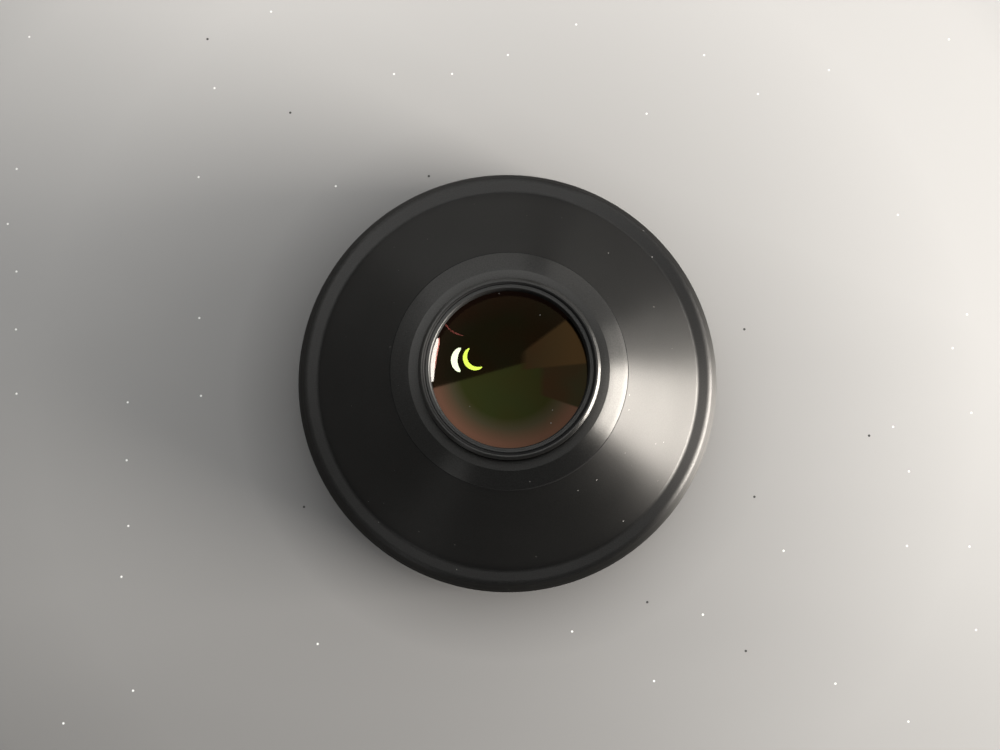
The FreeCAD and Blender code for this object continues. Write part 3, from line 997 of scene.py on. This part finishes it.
def room_lamps():
    """The room's lamps: the settings place the windows and the ceiling lamp."""
    studio = settings().studio
    rad = math.radians
    return {
        "window": Lamp(studio.window_azimuth, studio.window_elevation, 1.0, 0.60, 0.286,
                       studio.window_power, (1.0, 0.945, 0.885)),
        "upper_window": Lamp(studio.window_azimuth, rad(27), 0.7, 0.46, 0.30, 1.5, (1.0, 0.955, 0.91)),
        "curtain": Lamp(rad(12), rad(9), 0.7, 0.34, 0.20, 1.9, (1.0, 0.955, 0.91)),
        "ceiling": Lamp(studio.ceiling_azimuth, studio.ceiling_elevation, 0.9, 0.90, 0.58, 2.7),
        "near_wall": Lamp(rad(37), rad(15), 0.9, 1.10, 0.44, 2.15, (1.0, 0.98, 0.96)),
        "far_wall": Lamp(rad(108), rad(15), 0.9, 0.90, 0.44, 0.95),
        "door": Lamp(rad(-120), rad(20), 0.9, 0.20, 0.30, 0.17),
    }


def hang_lamps():
    """Hang every lamp round the middle of the lens, which it faces."""
    middle = (CAD_BOX[0] + CAD_BOX[1]) / 2
    for name, lamp in room_lamps().items():
        light = bpy.data.lights.new(name, "AREA")
        light.shape = "RECTANGLE"
        light.size = lamp.width
        light.size_y = lamp.height
        light.energy = lamp.power
        light.color = lamp.colour
        made = placed(name, light)
        made.location = middle + lamp.direction() * lamp.distance
        made.rotation_euler = lamp.direction().to_track_quat("Z", "Y").to_euler()


def room_light():
    """The room: its backdrop and ceiling are seen and mirrored, and its even light falls on matt pieces."""
    studio = settings().studio
    sheet = Sheet(bpy.data.worlds.new("studio"))
    x, y, height = sheet.parts(sheet.node("ShaderNodeTexCoord", output="Generated"))
    rise = sheet.clamp((height - WALL_TOP) / CEILING_BLEND)
    room = sheet.blend(rise, backdrop(sheet, x, y), studio.ceiling_colour)
    seen = sheet.node("ShaderNodeBackground", None, {"Color": room, "Strength": 1.0})
    even = sheet.node("ShaderNodeBackground", None, {"Color": opaque(studio.ambient_colour), "Strength": 1.0})
    sheet.node("ShaderNodeOutputWorld", None, {"Surface": sheet.mix(background_rays(sheet), even, seen)})
    bpy.context.scene.world = sheet.holder


def set_camera():
    """Set the camera where the photograph was taken from."""
    studio = settings().studio
    camera = bpy.data.cameras.new("camera")
    camera.lens = studio.focal_length
    camera.sensor_width = SENSOR_WIDTH
    camera.clip_start = 5 * MM
    made = placed("camera", camera)
    made.location = studio.eye
    made.rotation_euler = Euler((studio.tilt, 0, 0))
    bpy.context.scene.camera = made


class CONVLENS_OT_barrel(bpy.types.Operator):
    """Turn the barrel and the front ring"""

    bl_idname = "convlens.barrel"
    bl_label = "Barrel and front ring"

    def execute(self, context):
        material = satin_black()
        outline = outline_of("main_barrel")
        turned_piece("main_barrel", material, "satin_black", outline, screw_hole_cutters(),
                     cone_foot(outline))
        turned_piece("front_filter_ring", material, "satin_black", cutters=screw_hole_cutters())
        mount = MOUNTS["filter_thread"]
        middle, half = mount["pos_m"][2], mount["dims"]["length_mm"] / 2 * MM
        thread("filter_thread", material, "satin_black", mount["dims"]["r_mm"] * MM,
               middle - half, middle + half, -settings().form.thread_depth)
        return {"FINISHED"}


class CONVLENS_OT_grub_screws(bpy.types.Operator):
    """Make the slotted grub screws in the barrel's wall"""

    bl_idname = "convlens.grub_screws"
    bl_label = "Grub screws"

    def execute(self, context):
        form = settings().form
        radius, height, inner, outer = screw_facts()
        reach = outer - inner
        outline = [Vector(point) for point in ((0, 0), (radius, 0), (radius, reach), (0, reach))]
        screw = lathe("finished_filter_ring_screws", softened(outline, form.edge_round), SCREW_SEGMENTS)
        slot = placed("slot", bpy.data.meshes.new("slot"))
        box = bmesh.new()
        bmesh.ops.create_cube(box, size=1.0, matrix=Matrix.Translation((0, 0, reach)) @ Matrix.Diagonal(
            (4 * radius, form.slot_width, 2 * form.slot_depth, 1)))
        box.to_mesh(slot.data)
        box.free()
        cut(screw, [slot])
        laid_out(screw, inner, height)
        steel = plain_finish("screw steel", settings().finish.steel, roughness=0.35,
                             grain_size=0.2, grain_depth=0.001, metallic=1.0)
        grown(screw, ring_tree(), steel, Count=SCREW_COUNT, Turn=FIRST_SCREW)
        dress(screw, steel, "screw_steel", "filter_ring_screws")
        return {"FINISHED"}


class CONVLENS_OT_mount_ring(bpy.types.Operator):
    """Turn the mount ring with its threaded boss"""

    bl_idname = "convlens.mount_ring"
    bl_label = "Mount ring"

    def execute(self, context):
        depth = settings().form.thread_depth
        material = blasted_black()
        outline, root, foot, top = boss_outline()
        turned_piece("mount_ring", material, "blasted_black", outline)
        thread("boss_thread", material, "blasted_black", root, foot, top - depth / 2, depth)
        return {"FINISHED"}


class CONVLENS_OT_rear_group(bpy.types.Operator):
    """Turn the rear glass and the ring round it"""

    bl_idname = "convlens.rear_group"
    bl_label = "Rear glass and ring"

    def execute(self, context):
        turned_piece("rear_retaining_ring", ring_black(), "ring_black")
        turned_glass("rear_crown_lens", rear_coating(), "rear_glass")
        return {"FINISHED"}


class CONVLENS_OT_front_group(bpy.types.Operator):
    """Turn the two front glasses"""

    bl_idname = "convlens.front_group"
    bl_label = "Front glasses"

    def execute(self, context):
        finish = settings().finish
        turned_glass("front_lens", clear_coating("front_coating", finish.front_coating, 0.3), "front_glass")
        turned_glass("second_lens", clear_coating("inner_coating", finish.second_coating, 0.3), "inner_glass")
        return {"FINISHED"}


class CONVLENS_OT_inner_pieces(bpy.types.Operator):
    """Give the inner pieces their finishes"""

    bl_idname = "convlens.inner_pieces"
    bl_label = "Inner pieces"

    def execute(self, context):
        finish = settings().finish
        rings = ring_black()
        stops = plain_finish("flocked black", finish.stop, roughness=0.9, grain_size=0.3, grain_depth=0.01)
        rubber = plain_finish("black rubber", finish.rubber, roughness=0.6, grain_size=0.2, grain_depth=0.004)
        brass = plain_finish("bright brass", finish.brass, roughness=0.3, grain_size=0.3, grain_depth=0.001,
                             metallic=1.0)
        flint = clear_coating("flint_coating", finish.flint_coating, 0.4)
        for slot, material, nodes in (
                ("ring_black", rings, ("front_retaining_ring", "second_lens_ring", "middle_stop_ring",
                                       "mount_lock_ring", "rear_lens_cell")),
                ("stop_black", stops, ("front_stop_plate", "middle_stop_plate")),
                ("shim_black", stops, ("front_lens_shim", "second_lens_shim")),
                ("seal_rubber", rubber, ("front_lens_seal", "mount_ring_seal")),
                ("shim_brass", brass, ("cell_shim",))):
            for node in nodes:
                merged_piece(node, material, slot)
        turned_glass("rear_flint_lens", flint, "inner_glass")
        return {"FINISHED"}


class CONVLENS_OT_studio(bpy.types.Operator):
    """Set the floor, the lamps, the backdrop and the camera"""

    bl_idname = "convlens.studio"
    bl_label = "Studio"

    def execute(self, context):
        stage_floor()
        hang_lamps()
        room_light()
        set_camera()
        context.scene.view_settings.view_transform = "Standard"
        return {"FINISHED"}


class CONVLENS_PT_panel(bpy.types.Panel):
    """The lens's buttons in the sidebar"""

    bl_label = "Conversion lens"
    bl_idname = "CONVLENS_PT_panel"
    bl_space_type = "VIEW_3D"
    bl_region_type = "UI"
    bl_category = "Conversion lens"

    def draw(self, context):
        for operator in OPERATORS:
            self.layout.operator(operator.bl_idname)


GROUPS = (LensForm, LensFinish, StudioForm, LensSettings)
OPERATORS = (
    CONVLENS_OT_barrel,
    CONVLENS_OT_grub_screws,
    CONVLENS_OT_mount_ring,
    CONVLENS_OT_rear_group,
    CONVLENS_OT_front_group,
    CONVLENS_OT_inner_pieces,
    CONVLENS_OT_studio,
)


def register():
    for group in (*GROUPS, *OPERATORS, CONVLENS_PT_panel):
        bpy.utils.register_class(group)
    bpy.types.Scene.conversion_lens = PointerProperty(type=LensSettings)


def unregister():
    del bpy.types.Scene.conversion_lens
    for group in reversed((*GROUPS, *OPERATORS, CONVLENS_PT_panel)):
        bpy.utils.unregister_class(group)


def main():
    """Build every piece and the studio."""
    register()
    for operator in OPERATORS:
        getattr(bpy.ops.convlens, operator.bl_idname.split(".")[1])()


if __name__ == "__main__":
    main()
